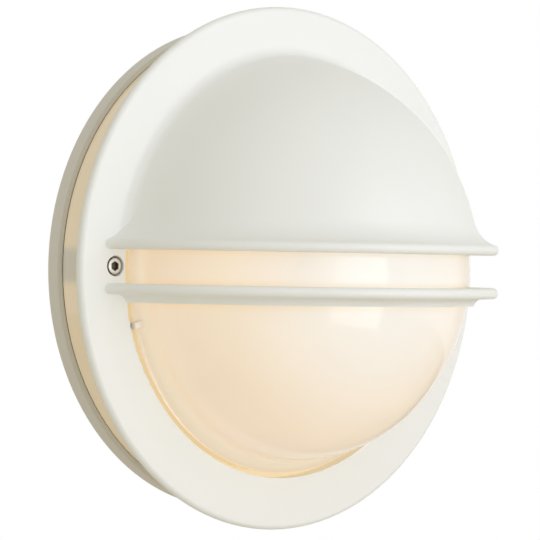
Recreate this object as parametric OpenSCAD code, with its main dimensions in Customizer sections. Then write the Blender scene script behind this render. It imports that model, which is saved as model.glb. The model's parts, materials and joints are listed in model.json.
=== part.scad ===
// Round wall light: a cast cover with a half-dome hood, a slot and a crossbar holds an opal
// diffuser against a shallow cast base. The wall is the plane Y = 0, the light faces -Y and
// +Z is up. Every size called "out" is a distance from the wall.

/* [Cover flange] */
// Outer radius of the flange
flange_r = 137.5; // [134:0.5:142]
// Distance from the wall to the front of the flange's rim
face_out = 38.5; // [37:0.5:42]
// How far the flange's face rises from its rim to the opening
face_rise = 2; // [1:0.25:3]
// Thickness of the flange's rounded rim
rim_t = 5.5; // [5:0.25:6]
// Width of the thick rim, seen from behind
rim_w = 8.5; // [7:0.5:9]
// Thickness of the flange's plate just inside the rim
plate_t = 3; // [2.5:0.25:4]
// Distance from the rim's front back to the seat that presses on the diffuser
seat_depth = 6; // [5.5:0.25:6.5]
// Width of the lip around the opening
lip_w = 2.5; // [2:0.25:3]
// Step between the hood's cast inner face and the bored opening
bore_step = 0.2; // [0.1:0.1:0.6]
// Radius of the opening's front edge
edge_round = 0.9; // [0.5:0.1:1.2]
// Land between a screw's counterbore and the opening
screw_land = 1.25; // [1:0.25:2.5]

/* [Hood] */
// How far the hood's centre lies behind the flange's rim front
dome_back = 18; // [16:0.5:20]
// Wall of the hood
hood_wall = 2; // [1.8:0.1:2.8]
// How far the brim and the crossbar stand out beyond the hood
brim_w = 10.1; // [8:0.1:13]
// Thickness of the brim and of the crossbar at their rounded edge
brim_t = 5.6; // [5:0.2:6.4]
// Radius of the hollow curve between the hood and its brim
flare_r = 18; // [14:1:22]
// Radius of the fillet between the hood and the flange
root_fillet_r = 7; // [4:0.5:9]

/* [Slot and crossbar] */
// Height of the slot between the brim and the crossbar
slot_h = 17.2; // [15:0.2:20]
// Overall height of the crossbar
bar_h = 9.7; // [8:0.1:11]
// Gap between the diffuser's dome and the crossbar
bar_gap = 0.8; // [0.5:0.1:1.4]
// Thickness of the crossbar's foot
bar_foot_w = 1.2; // [0.8:0.2:3]
// Radius of the hollow curve between the crossbar and its foot
bar_fillet_r = 5.5; // [5:0.5:8]

/* [Diffuser] */
// Radius of the hollow cove around the dome's foot
cove_r = 6.9; // [6:0.1:8]
// Distance from the flange's rim front out to the dome's foot
dome_foot = 8; // [7:0.5:9]
// Gap between the dome's shoulder and the inside of the hood
dome_gap = 2.7; // [2.4:0.1:3.6]
// Gap between the dome's crown and the inside of the hood
crown_gap = 9.7; // [8:0.1:13]
// Width of the groove between the diffuser's shoulder and the opening
groove_w = 2.5; // [2:0.1:3.5]
// Wall of the opal dome
dome_wall = 2.2; // [1.8:0.1:2.6]
// Thickness of the diffuser's flange and skirt
skirt_t = 2; // [1.6:0.1:2.4]
// How far the diffuser's skirt lies inside the flange's edge
skirt_inset = 12; // [11:0.5:15]

/* [Base] */
// How far the base's foot stands out beyond the skirt
base_side = 2.8; // [2.4:0.1:3.8]
// How far the base's front lip stands out beyond the skirt
base_lip = 0.5; // [0.3:0.1:1]
// Depth of the base's side wall
base_h = 8; // [7.5:0.25:9]
// Thickness of the base's back plate
base_plate_t = 2.6; // [2:0.2:3.6]
// Depth of the hollow in the base's back
back_hollow = 1.2; // [0.8:0.1:1.6]
// Wall between the seal's groove and the inside of the base
rim_wall = 2.6; // [2:0.2:4]

/* [Seal] */
// Height of the seal that shows at the seam
seal_show = 0.7; // [0.5:0.1:1.2]
// Depth of the seal's groove in the base
seal_seat = 1.6; // [1.2:0.1:2]
// Width of the seal
seal_w = 3.6; // [3:0.1:4]

/* [Cover screws] */
// Radius of a cover screw's thread
screw_r = 2.5; // [2:0.25:2.75]
// Radius of a cover screw's head
screw_head_r = 4.25; // [4:0.05:4.5]
// Height of a cover screw's head
screw_head_h = 5; // [4.5:0.25:5.25]
// Distance across the flats of the socket in a cover screw
socket_flats = 4; // [3:0.5:4.5]
// Depth of the socket in a cover screw
socket_depth = 2.5; // [2:0.1:3]
// Length of a cover screw under its head
screw_len = 22; // [20:1:24]
// Radius of the counterbore around a screw head
counterbore_r = 5.15; // [5:0.05:5.4]
// Radius of the cover's boss around a screw
boss_r = 6.6; // [6.3:0.1:7]
// Radius of the base's pillar under a screw
pillar_r = 6.6; // [6:0.1:6.9]
// Gap between a screw's pillar and the diffuser's skirt
pillar_gap = 0.5; // [0.3:0.1:1]
// Radius of the rubber bush where a screw passes the diffuser
bush_r = 5; // [4.5:0.1:5.4]
// Thickness of the rubber bush's foot under the diffuser
bush_foot_t = 2; // [1.5:0.1:2.5]

/* [Diffuser clips] */
// Angle of each clip above or below the horizontal
clip_angle = 16; // [14:1:18]
// Width of a clip along the opening's edge
clip_w = 3.2; // [2.6:0.1:4]
// Reach of a clip's nose over the diffuser
clip_reach = 6; // [5:0.25:7]
// Thickness of a clip's nose
clip_t = 1.5; // [1.2:0.1:1.8]

/* [Gear tray] */
// Gap between the gear tray and the screw pillars
tray_gap = 13.8; // [12:0.2:18]
// Distance from the wall to the tray's back
tray_out = 20.5; // [19.5:0.5:22]
// Thickness of the tray's sheet
tray_t = 1; // [0.8:0.1:1.2]
// Depth of the tray's turned-back edge
tray_edge = 4; // [3:0.5:6]
// Distance of the tray's screws from the tray's edge
tray_screw_edge = 14; // [10:0.5:16]
// Radius of the tray's finger holes
finger_r = 9; // [7:0.5:10]
// Radius of a small machine screw's thread
small_screw_r = 1.75; // [1.5:0.25:2]
// Radius of a small machine screw's head
small_head_r = 3.5; // [3:0.25:4]
// Height of a small machine screw's head
small_head_h = 2.2; // [1.8:0.1:2.6]

/* [Lampholder and lamp] */
// Distance from the wall to the lamp's axis
lamp_out = 56; // [54:1:62]
// Distance from the dome's foot in to the lampholder's back
holder_inset = 30.6; // [28:0.2:36]
// Outer radius of the lampholder
holder_r = 21; // [20:0.5:22]
// Length of the lampholder
holder_len = 40; // [38:1:42]
// Thickness of the lampholder's back wall
holder_back_t = 14; // [12:0.5:16]
// Distance of the lampholder's fixing screws from its rim
holder_screw_edge = 9; // [8:0.5:10]
// Outer radius of the lampholder's threaded sleeve
sleeve_r = 14.4; // [14.2:0.1:15]
// Wall of the threaded sleeve
sleeve_t = 0.4; // [0.3:0.1:0.6]
// Radius of the lamp's cap
cap_r = 13.6; // [13:0.1:13.8]
// Length of the lamp's cap
cap_len = 24; // [23:0.5:26]
// Radius of the lamp's bulb
bulb_r = 28; // [25:0.5:30]
// Overall length of the lamp
lamp_len = 100; // [90:1:110]
// Thickness of the holder bracket's sheet
bracket_t = 1.5; // [1.2:0.1:2]
// Length of the bracket's foot
bracket_foot = 34; // [32:1:38]
// Width of the bracket
bracket_w = 36; // [34:1:40]
// Distance of the bracket's screws from its side edges
bracket_screw_edge = 7; // [6:0.5:8]

/* [Terminals and cable entries] */
// Place of the terminal block's centre, right of the middle
block_x = 20; // [16:1:24]
// Place of the terminal block's centre, below the middle
block_z = -45; // [-50:1:-42]
// Distance between the terminal block's poles
pole_pitch = 11; // [10:0.5:12]
// Width of the terminal block from one entry side to the other
block_w = 18; // [16:1:20]
// Height of the terminal block from its foot
block_h = 13; // [12:0.5:14]
// Outer radius of a brass terminal insert
insert_r = 2.9; // [2.6:0.1:3.2]
// Wire space in a brass terminal insert
insert_bore_r = 1.7; // [1.5:0.1:1.9]
// Place of the supply entry, left of the middle
entry_x = -34; // [-40:1:-30]
// Height of the supply entry from the middle
entry_z = -52; // [-56:1:-46]
// Radius of the cable entries in the base
entry_r = 10; // [9:0.5:11]
// Radius of the supply cable's way through the grommet
cable_way_r = 4.5; // [4:0.25:5.5]
// Distance of a wall fixing hole from the inside of the base's rim
wall_hole_edge = 16; // [12:0.5:20]
// Radius of a wall fixing hole
wall_hole_r = 2.75; // [2.25:0.25:3]
// Radius of an inner wire with its insulation
wire_r = 1.2; // [1:0.05:1.3]
// Distance from the wall to the inner wires where they lie under the tray
wire_lie = 12; // [11:0.5:14]

/* [Hidden] */
$fn = 96;

// Colours as the object shows them
white_coat = [0.93, 0.93, 0.91];
opal = [0.97, 0.88, 0.73];
dark_rubber = [0.16, 0.15, 0.14];
steel = [0.74, 0.74, 0.73];
brass = [0.80, 0.66, 0.36];
porcelain = [0.95, 0.94, 0.90];
white_plastic = [0.94, 0.94, 0.92];
live_brown = [0.45, 0.27, 0.15];
neutral_blue = [0.20, 0.38, 0.66];
earth_green = [0.42, 0.62, 0.22];

// A small overlap that joins or cuts cleanly, and the clearances between pieces
cut = 0.5;
thread_gap = 0.05;
hole_gap = 0.3;
slip_gap = 0.25;

// A derived size kept to a hundredth of a millimetre
function kept(size) = round(size * 100) / 100;

// Places on the cover, from the flange's edge inward
face_in_out = face_out + face_rise;
seat_out = face_out - seat_depth;
plate_back = face_out - plate_t;
rim_c = flange_r - rim_t / 2;
skirt_r = flange_r - skirt_inset;
skirt_in_r = skirt_r - skirt_t;
screw_at = skirt_in_r - pillar_gap - pillar_r;
opening_r = screw_at - counterbore_r - screw_land;
hood_out = face_out - dome_back;
hood_in_r = kept(norm([opening_r + bore_step, face_in_out - hood_out]));
hood_r = hood_in_r + hood_wall;
brim_r = hood_r + brim_w;
brim_c = brim_r - brim_t / 2;
slot_half = slot_h / 2;
brim_top = slot_half + brim_t;
cover_cut_out = plate_back + plate_t / 2;

// The face's distance from the wall at a radius
function face_at(r) = face_out + face_rise * (rim_c - r) / (rim_c - opening_r);

// Places on the diffuser
shoulder_r = opening_r - groove_w;
dome_r = shoulder_r - cove_r;
dome_foot_out = face_out + dome_foot;
crown_out = hood_out + hood_in_r - crown_gap;
dome_h = crown_out - dome_foot_out;
diffuser_back = seat_out - skirt_t;

// The dome's shoulder curve clears the hood by its gap and its crown curve joins it
dome_far = hood_in_r - dome_gap;
dome_shoulder_r = kept((pow(dome_far, 2) - pow(dome_r, 2) - pow(dome_foot_out - hood_out, 2))
    / (2 * (dome_far - dome_r)));
crown_r = (pow(dome_r, 2) + pow(dome_h, 2) - 2 * dome_r * dome_shoulder_r)
    / (2 * (dome_h - dome_shoulder_r));

// The crossbar's radii from the hood's centre, clear of the dome
bar_in_r = dome_far + bar_gap;
bar_foot_r = bar_in_r + bar_foot_w;

// Places at the seam
seal_step = 0.3;
seal_front = base_h + seal_show;
seal_back = base_h - seal_seat;
seal_out_r = skirt_r - seal_step;
seal_in_r = seal_out_r - seal_w;

// Places on the base
base_r = skirt_r + base_side;
base_lip_r = skirt_r + base_lip;
base_rim_in_r = seal_in_r - rim_wall;
floor_out = back_hollow + base_plate_t;
base_taper = 0.5;
base_boss_angles = [90, 210, 330];
base_rib_angles = [0, 60, 150, 180, 210, 330];
floor_rib_h = 2.2;
wall_hole_at = base_rim_in_r - wall_hole_edge;

// Places at the cable entries
entry_pad = 3;
entry_lift = 1;
entry_front = floor_out + entry_lift;
entry_lip = 1.6;
grommet_lip_t = 1.2;
grommet_nose = 6;
grommet_wall = 2;
wall_gap = 0.2;

// Places along a cover screw
head_front = face_at(screw_at) - hole_gap;
head_back = head_front - screw_head_h;
pillar_top = diffuser_back - bush_foot_t;
tap_run_out = 1;
tap_bottom = head_back - screw_len - tap_run_out;

// Places on the diffuser clips
clip_in_r = shoulder_r + hole_gap;
clip_out_r = clip_in_r + clip_t;
nose_r = clip_out_r - clip_reach;
nose_out = dome_foot_out - sqrt(pow(cove_r, 2) - pow(shoulder_r - nose_r, 2)) + thread_gap;
clip_foot_t = 1;
clip_foot_r = opening_r + lip_w - slip_gap;

// Places on the gear tray
tray_front = tray_out + tray_t;
tray_r = screw_at - pillar_r - tray_gap;
tray_screw_at = tray_r - tray_screw_edge;
finger_at = tray_r - 3 * finger_r;
finger_angle = 15;

// Places on the lamp's axis
holder_back = holder_inset - dome_r;
socket_mouth = holder_back + holder_len;
cup_floor = holder_back + holder_back_t;
contact_t = 0.8;
lamp_tip = cup_floor + contact_t;
wire_hole_in = 9;
wire_hole_x = holder_back + wire_hole_in;
wire_hole_z = 6;
wire_hole_r = wire_r + hole_gap;
wire_way_r = 3;
wire_bite = 4;
holder_side = lamp_out - sqrt(pow(holder_r, 2) - pow(wire_hole_z, 2));
holder_screw_z = holder_r - holder_screw_edge;
holder_screw_len = 6;
bracket_screw_in = 25;
bracket_screw_x = holder_back + bracket_screw_in;
bracket_screw_z = bracket_w / 2 - bracket_screw_edge;

// Places on the terminal block
block_pad = 1.2;
block_foot = floor_out + block_pad;
block_front = block_z + block_w / 2;
insert_lift = 6;
insert_out = block_foot + insert_lift;
insert_len = block_w - 2;
clamp_z = 5;
clamp_r = 1.4;
clamp_head_r = 1.9;
web_top = insert_out + insert_r + 0.5;
fixing_x = block_x + pole_pitch / 2;
fixing_r = 1.5;
wire_grip = 6;

// Places at the earth screw
earth_x = 44;
earth_z = 22;
earth_pad_h = 2.4;
lug_t = 0.8;
washer_t = 1;
lug_out = floor_out + earth_pad_h;
barrel_r = wire_r + 0.1 + lug_t;
barrel_drop = 5;
barrel_z = earth_z - barrel_drop;
barrel_len = 6;
barrel_out = lug_out + barrel_r;

// The inner wires' routes as points of X, Z and the distance from the wall: each leaves its
// insert straight, crosses under the tray and ends in the holder or in the lug
wire_lead = 7;
wire_turn = 8;
wire_rise = 3;
route_parts = 5;
function leaving(x) = [[x, block_front - wire_grip, insert_out], [x, block_front + 1, insert_out],
    [x, block_front + wire_lead, insert_out]];
function bowed(from, to, t) = [from[0] + (to[0] - from[0]) * t,
    from[1] + (to[1] - from[1]) * (1 - pow(1 - t, 2)), wire_lie];
function eased(from, to, t) = [from[0] + (to[0] - from[0]) * t * t * (3 - 2 * t),
    from[1] + (to[1] - from[1]) * t, from[2] + (to[2] - from[2]) * t];
function rising(z) = [[wire_hole_x + wire_turn, z, wire_lie],
    [wire_hole_x + wire_turn / 5, z, wire_lie + wire_rise], [wire_hole_x, z, tray_out],
    [wire_hole_x, z, tray_front + bracket_t + wire_rise], [wire_hole_x, z, holder_side - 2],
    [wire_hole_x, z, holder_side + wire_bite]];
function holder_route(x, z) = let (from = [x, block_front + wire_lead],
        to = [wire_hole_x + wire_turn, z])
    concat(leaving(x), [for (i = [1:route_parts - 1]) bowed(from, to, i / route_parts)],
        rising(z));
live_route = holder_route(block_x - pole_pitch, -wire_hole_z);
neutral_route = holder_route(block_x, wire_hole_z);
earth_start = [block_x + pole_pitch, block_front + wire_lead, insert_out];
earth_end = [earth_x, barrel_z - barrel_len - wire_rise, barrel_out];
earth_route = concat(leaving(earth_start[0]),
    [for (i = [1:route_parts - 2]) eased(earth_start, earth_end, i / (route_parts - 1))],
    [earth_end, [earth_x, barrel_z - barrel_len, barrel_out],
        [earth_x, barrel_z - 1, barrel_out]]);

// Turns a form drawn with its height away from the wall into place
module facing() {
    rotate([90, 0, 0]) children();
}

// Carries a form that faces the room to its place on the wall plane
module at_wall(x, z, out) {
    translate([x, -out, z]) facing() children();
}

// Carries a form drawn along its height onto the lamp's axis, pointing right
module on_lamp_axis(x) {
    translate([x, -lamp_out, 0]) rotate([0, 90, 0]) children();
}

// A ring between two radii and two heights
module ring(r_in, r_out, low, high) {
    rotate_extrude() translate([r_in, low]) square([r_out - r_in, high - low]);
}

// Everything in front of a distance from the wall
module beyond(out) {
    reach = 400;
    translate([-reach / 2, -out - reach, -reach / 2]) cube(reach);
}

// The flange's section: rolled rim, plate, rounded opening edge and seat lip
module flange_section() {
    translate([rim_c, face_out - rim_t / 2]) circle(rim_t / 2);
    translate([opening_r + edge_round, face_in_out - edge_round]) circle(edge_round);
    polygon([[opening_r, seat_out], [opening_r + lip_w, seat_out],
        [opening_r + lip_w, plate_back], [flange_r - rim_w - plate_t, plate_back],
        [flange_r - rim_w, face_out - rim_t], [rim_c, face_out - rim_t], [rim_c, face_out],
        [opening_r + edge_round, face_in_out], [opening_r, face_in_out - edge_round]]);
}

// The hollow curve where the hood's root meets the sloping face
module root_fillet_section() {
    slope = atan2(face_rise, rim_c - opening_r);
    along = [cos(slope), -sin(slope)];
    normal = [sin(slope), cos(slope)];
    axis = [0, hood_out];
    start = [opening_r, face_in_out] - axis + root_fillet_r * normal;
    b = start * along;
    c = start * start - pow(hood_r + root_fillet_r, 2);
    centre = start + along * (sqrt(b * b - c) - b);
    on_face = centre - root_fillet_r * normal;
    on_hood = centre * hood_r / (hood_r + root_fillet_r);
    inset = hood_wall / 2;
    translate(axis) difference() {
        polygon([on_face, centre, on_hood, on_hood - [inset, 0],
            [opening_r + inset, face_in_out - hood_out - inset], on_face - [0, inset]]);
        translate(centre) circle(root_fillet_r);
    }
}

// The hood's outer section about its upright axis: dome, hollow flare and brim
module hood_section() {
    // the flare touches the dome and ends on the brim's upper edge
    gap = sqrt(pow(brim_c, 2) + pow(brim_top, 2));
    reach = hood_r + flare_r;
    lean = acos((gap * gap + reach * reach - flare_r * flare_r) / (2 * gap * reach))
        + atan2(brim_top, brim_c);
    flare_c = reach * [cos(lean), sin(lean)];
    on_hood = hood_r * [cos(lean), sin(lean)];
    intersection() {
        circle(hood_r);
        translate([0, slot_half]) square(hood_r);
    }
    translate([0, slot_half]) square([brim_c, brim_t]);
    translate([brim_c, slot_half + brim_t / 2]) circle(brim_t / 2);
    difference() {
        polygon([[hood_r / 2, slot_half + cut], [brim_c, slot_half + cut], [brim_c, brim_top],
            flare_c, on_hood, [hood_r / 2, on_hood[1]]]);
        translate(flare_c) circle(flare_r);
    }
}

// The crossbar's section: the brim again, upside down, on a short foot
module bar_section() {
    foot_h = bar_h - brim_t;
    fillet_c = bar_foot_r + sqrt(pow(bar_fillet_r, 2) - pow(bar_fillet_r - foot_h, 2));
    translate([bar_in_r, -brim_top]) square([brim_c - bar_in_r, brim_t]);
    translate([brim_c, -slot_half - brim_t / 2]) circle(brim_t / 2);
    difference() {
        translate([bar_in_r, -slot_half - bar_h])
            square([fillet_c - bar_in_r, foot_h + cut]);
        translate([fillet_c, -brim_top - bar_fillet_r]) circle(bar_fillet_r);
    }
}

// What is cut away to round the corner between the hood's inside and the brim's underside
module brim_corner_section() {
    corner_r = sqrt(pow(hood_in_r, 2) - pow(slot_half, 2));
    corner_round = 0.8;
    difference() {
        translate([corner_r - cut, slot_half - cut]) square(corner_round + cut);
        translate([corner_r + corner_round, slot_half + corner_round]) circle(corner_round);
    }
}

// The half-dome hood with its brim, still solid inside
module hood_solid() {
    translate([0, -hood_out, 0]) rotate_extrude() hood_section();
    intersection() {
        facing() rotate_extrude() root_fillet_section();
        translate([-flange_r, -flange_r, slot_half + brim_t / 2]) cube(2 * flange_r);
    }
}

// The hood and the crossbar, hollow and open at the back
module hood_and_bar() {
    difference() {
        intersection() {
            union() {
                hood_solid();
                translate([0, -hood_out, 0]) rotate_extrude() bar_section();
            }
            beyond(cover_cut_out);
        }
        intersection() {
            translate([0, -hood_out, 0]) sphere(hood_in_r);
            translate([-flange_r, -2 * flange_r - face_in_out, 0]) cube(2 * flange_r);
        }
        at_wall(0, 0, 0) cylinder(r = opening_r, h = face_in_out);
        translate([0, -hood_out, 0]) rotate_extrude() brim_corner_section();
    }
}

// The one-piece casting
module front_cover() {
    pocket_w = clip_w + 2 * slip_gap;
    bore_break = 0.3;
    color(white_coat) difference() {
        union() {
            facing() rotate_extrude() flange_section();
            hood_and_bar();
            for (side = [-1, 1])
                difference() {
                    at_wall(side * screw_at, 0, seat_out)
                        cylinder(r = boss_r, h = plate_back - seat_out + cut);
                    at_wall(0, 0, 0) cylinder(r = opening_r + cut, h = face_out);
                }
        }
        for (side = [-1, 1]) {
            at_wall(side * screw_at, 0, head_back) cylinder(r = counterbore_r, h = rim_t * 2);
            at_wall(side * screw_at, 0, face_at(screw_at) - bore_break)
                cylinder(r1 = counterbore_r, r2 = counterbore_r + 2 * bore_break, h = 2 * bore_break);
            at_wall(side * screw_at, 0, 0) cylinder(r = screw_r + hole_gap, h = face_out);
        }
        for (angle = [-clip_angle, clip_angle, 180 - clip_angle, 180 + clip_angle])
            facing() rotate([0, 0, angle]) translate([opening_r - 1, -pocket_w / 2, seat_out - cut])
                cube([lip_w + 1 + cut, pocket_w, clip_foot_t + slip_gap + cut]);
    }
}

// Half the dome's section above its foot, smaller by an inset
module dome_half(inset) {
    split_r = dome_r - dome_shoulder_r;
    slant = split_r / (crown_r - dome_h);
    top = 2 * dome_h;
    intersection() {
        translate([0, dome_h - crown_r]) circle(crown_r - inset);
        polygon([[0, 0], [split_r, 0], [split_r + slant * top, top], [0, top]]);
    }
    intersection() {
        translate([split_r, 0]) circle(dome_shoulder_r - inset);
        square([dome_r, dome_h]);
    }
}

// The diffuser's outer section below the dome's foot, down to its flange
module cove_section(inset, low) {
    difference() {
        translate([0, low]) square([shoulder_r - inset, dome_foot_out - low]);
        translate([shoulder_r, dome_foot_out]) circle(cove_r + inset);
    }
}

module diffuser() {
    color(opal) facing() difference() {
        rotate_extrude() union() {
            translate([0, dome_foot_out]) dome_half(0);
            cove_section(0, diffuser_back);
            translate([0, seal_front]) square([skirt_r, seat_out - seal_front]);
        }
        rotate_extrude() union() {
            translate([0, dome_foot_out]) dome_half(dome_wall);
            cove_section(dome_wall, seal_front - cut);
            translate([0, seal_front - cut])
                square([skirt_r - skirt_t, diffuser_back - seal_front + cut]);
        }
        for (side = [-1, 1])
            translate([side * screw_at, 0, 0]) cylinder(r = bush_r + slip_gap, h = face_out);
    }
}

// The base's section without its holes
module base_section() {
    side_r = base_r - base_taper;
    lip_round = side_r - base_lip_r;
    draft = 1;
    polygon([[0, back_hollow], [base_rim_in_r - 2 * draft, back_hollow],
        [base_rim_in_r - 2 * draft, 0], [base_r, 0], [side_r, base_h - lip_round],
        [base_lip_r, base_h], [base_rim_in_r, base_h], [base_rim_in_r - draft, floor_out],
        [0, floor_out]]);
    translate([base_lip_r, base_h - lip_round]) circle(lip_round);
}

// The floor's stiffening: a hub ring and ribs out to the rim
module floor_ribs() {
    rib_t = 1.8;
    hub_r = 18;
    hub_rise = 0.4;
    ring(hub_r - rib_t, hub_r, floor_out - cut, floor_out + floor_rib_h + hub_rise);
    for (angle = base_rib_angles)
        rotate([0, 0, angle]) translate([hub_r - cut, -rib_t / 2, floor_out - cut])
            cube([base_rim_in_r - hub_r + cut, rib_t, floor_rib_h + cut]);
}

module base_housing() {
    tray_boss_r = 4.5;
    wall_pad_r = 8;
    wall_pad_h = 2;
    earth_boss_r = 6;
    color(white_coat) difference() {
        union() {
            facing() difference() {
                rotate_extrude() base_section();
                ring(seal_in_r - slip_gap / 2, seal_out_r + slip_gap / 2, seal_back, base_h + cut);
            }
            facing() floor_ribs();
            for (side = [-1, 1]) {
                at_wall(side * screw_at, 0, floor_out - cut)
                    cylinder(r = pillar_r, h = pillar_top - floor_out + cut);
                at_wall(0, side * wall_hole_at, 0)
                    cylinder(r = wall_pad_r, h = floor_out + wall_pad_h);
                at_wall(entry_x, side * entry_z, back_hollow)
                    cylinder(r = entry_r + entry_pad, h = entry_front - back_hollow);
            }
            for (angle = base_boss_angles)
                facing() rotate([0, 0, angle]) translate([tray_screw_at, 0, floor_out - cut])
                    cylinder(r = tray_boss_r, h = tray_out - floor_out + cut);
            at_wall(earth_x, earth_z, floor_out - cut)
                cylinder(r = earth_boss_r, h = earth_pad_h + cut);
            at_wall(block_x, block_z, floor_out - cut)
                translate([-1.4 * pole_pitch, -block_w / 2 + 1, 0])
                    cube([2.8 * pole_pitch, block_w - 2, block_pad + cut]);
        }
        for (side = [-1, 1]) {
            at_wall(side * screw_at, 0, tap_bottom)
                cylinder(r = screw_r + thread_gap, h = pillar_top);
            at_wall(0, side * wall_hole_at, -cut)
                cylinder(r = wall_hole_r, h = base_h);
            at_wall(entry_x, side * entry_z, -cut) cylinder(r = entry_r, h = base_h);
        }
        for (angle = base_boss_angles)
            facing() rotate([0, 0, angle]) translate([tray_screw_at, 0, tray_out / 2])
                cylinder(r = small_screw_r + thread_gap, h = tray_out);
        at_wall(earth_x, earth_z, 0) cylinder(r = small_screw_r + thread_gap, h = base_h);
        at_wall(fixing_x, block_z, 0) cylinder(r = fixing_r + thread_gap, h = base_h);
    }
}

module base_seal() {
    color(dark_rubber) difference() {
        facing() ring(seal_in_r, seal_out_r, seal_back, seal_front);
        for (side = [-1, 1])
            at_wall(side * screw_at, 0, 0) cylinder(r = pillar_r + slip_gap, h = seat_out);
    }
}

// A socket cap screw facing the room, from its head's front back
module cap_screw() {
    chamfer = 0.5;
    socket_r = socket_flats / 2 / cos(30);
    color(steel) difference() {
        union() {
            rotate_extrude() polygon([[0, 0], [0, -screw_head_h], [screw_head_r, -screw_head_h],
                [screw_head_r, -chamfer], [screw_head_r - chamfer, 0]]);
            rotate_extrude() polygon([[0, -screw_head_h + cut], [screw_r, -screw_head_h + cut],
                [screw_r, chamfer - screw_head_h - screw_len],
                [screw_r - chamfer, -screw_head_h - screw_len],
                [0, -screw_head_h - screw_len]]);
        }
        translate([0, 0, -socket_depth]) cylinder(r = socket_r, h = screw_head_h, $fn = 6);
    }
}

module cover_screw_left() {
    at_wall(-screw_at, 0, head_front) cap_screw();
}

module cover_screw_right() {
    at_wall(screw_at, 0, head_front) cap_screw();
}

// The rubber bush that carries a screw through the diffuser
module pillar_seal() {
    color(dark_rubber) rotate_extrude() {
        translate([screw_r + hole_gap, 0]) square([pillar_r - screw_r - hole_gap, bush_foot_t]);
        translate([screw_r + hole_gap, 0])
            square([bush_r - screw_r - hole_gap, seat_out - pillar_top]);
    }
}

module pillar_seal_left() {
    at_wall(-screw_at, 0, pillar_top) pillar_seal();
}

module pillar_seal_right() {
    at_wall(screw_at, 0, pillar_top) pillar_seal();
}

// A pressed clip: foot under the cover's lip, leg up the groove, nose over the diffuser
module diffuser_clip(angle) {
    bend = 0.5;
    nose_front = nose_out + clip_t;
    color(steel) facing() rotate([0, 0, angle]) rotate([90, 0, 0])
        translate([0, 0, -clip_w / 2]) linear_extrude(clip_w) {
            polygon([[clip_in_r, seat_out], [clip_foot_r, seat_out],
                [clip_foot_r, seat_out + clip_foot_t], [clip_out_r, seat_out + clip_foot_t],
                [clip_out_r, nose_front - bend], [clip_out_r - bend, nose_front],
                [nose_r + bend, nose_front], [nose_r, nose_front - bend], [nose_r, nose_out],
                [clip_in_r, nose_out]]);
            translate([clip_out_r - bend, nose_front - bend]) circle(bend);
        }
}

module diffuser_clip_upper_left() {
    diffuser_clip(180 - clip_angle);
}

module diffuser_clip_lower_left() {
    diffuser_clip(180 + clip_angle);
}

module diffuser_clip_upper_right() {
    diffuser_clip(clip_angle);
}

module diffuser_clip_lower_right() {
    diffuser_clip(-clip_angle);
}

// The way for two wires through a sheet, as long holes side by side
module wire_way(from, to) {
    at_wall(wire_hole_x, 0, from) {
        for (side = [-1, 1])
            translate([0, side * wire_hole_z, 0]) cylinder(r = wire_way_r, h = to - from);
        translate([-wire_way_r, -wire_hole_z, 0])
            cube([2 * wire_way_r, 2 * wire_hole_z, to - from]);
    }
}

module gear_tray() {
    bend_r = 2;
    color(white_coat) difference() {
        facing() rotate_extrude() {
            translate([0, tray_out]) square([tray_r - bend_r, tray_t]);
            translate([tray_r - tray_t, tray_front - tray_edge])
                square([tray_t, tray_edge - bend_r]);
            intersection() {
                difference() {
                    translate([tray_r - bend_r, tray_front - bend_r]) circle(bend_r);
                    translate([tray_r - bend_r, tray_front - bend_r]) circle(bend_r - tray_t);
                }
                translate([tray_r - bend_r, tray_front - bend_r]) square(bend_r);
            }
        }
        for (angle = base_boss_angles)
            facing() rotate([0, 0, angle]) translate([tray_screw_at, 0, tray_out - cut])
                cylinder(r = small_screw_r + hole_gap, h = tray_t + 2 * cut);
        for (side = [-1, 1]) {
            at_wall(bracket_screw_x, side * bracket_screw_z, tray_out - cut)
                cylinder(r = small_screw_r + thread_gap, h = tray_t + 2 * cut);
            facing() rotate([0, 0, side * finger_angle]) translate([finger_at, 0, tray_out - cut])
                cylinder(r = finger_r, h = tray_t + 2 * cut);
        }
        wire_way(tray_out - cut, tray_front + cut);
    }
}

// A domed machine screw facing the room, from its head's seat
module small_screw(len) {
    slot_w = 0.9;
    slot_deep = 1;
    color(steel) difference() {
        rotate_extrude() {
            intersection() {
                translate([0, small_head_h - small_head_r * 2]) circle(small_head_r * 2);
                square([small_head_r, small_head_h]);
            }
            translate([0, -len]) square([small_screw_r, len + cut]);
        }
        for (turn = [0, 90])
            rotate([0, 0, turn]) translate([-slot_w / 2, -small_head_r * 0.6,
                small_head_h - slot_deep]) cube([slot_w, small_head_r * 1.2, small_head_h]);
    }
}

// A tray screw on its boss
module tray_screw(angle) {
    facing() rotate([0, 0, angle]) translate([tray_screw_at, 0, tray_front])
        small_screw(tray_out / 2 - 1);
}

module tray_screw_top() {
    tray_screw(base_boss_angles[0]);
}

module tray_screw_left() {
    tray_screw(base_boss_angles[1]);
}

module tray_screw_right() {
    tray_screw(base_boss_angles[2]);
}

// The folded section of the bracket: foot along X, upright along the way out
module bracket_section(foot, upright) {
    bend_r = bracket_t + 1;
    translate([bend_r, 0]) square([foot - bend_r, bracket_t]);
    translate([0, bend_r]) square([bracket_t, upright - bend_r]);
    intersection() {
        square(bend_r);
        difference() {
            translate([bend_r, bend_r]) circle(bend_r);
            translate([bend_r, bend_r]) circle(bend_r - bracket_t);
        }
    }
}

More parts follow.
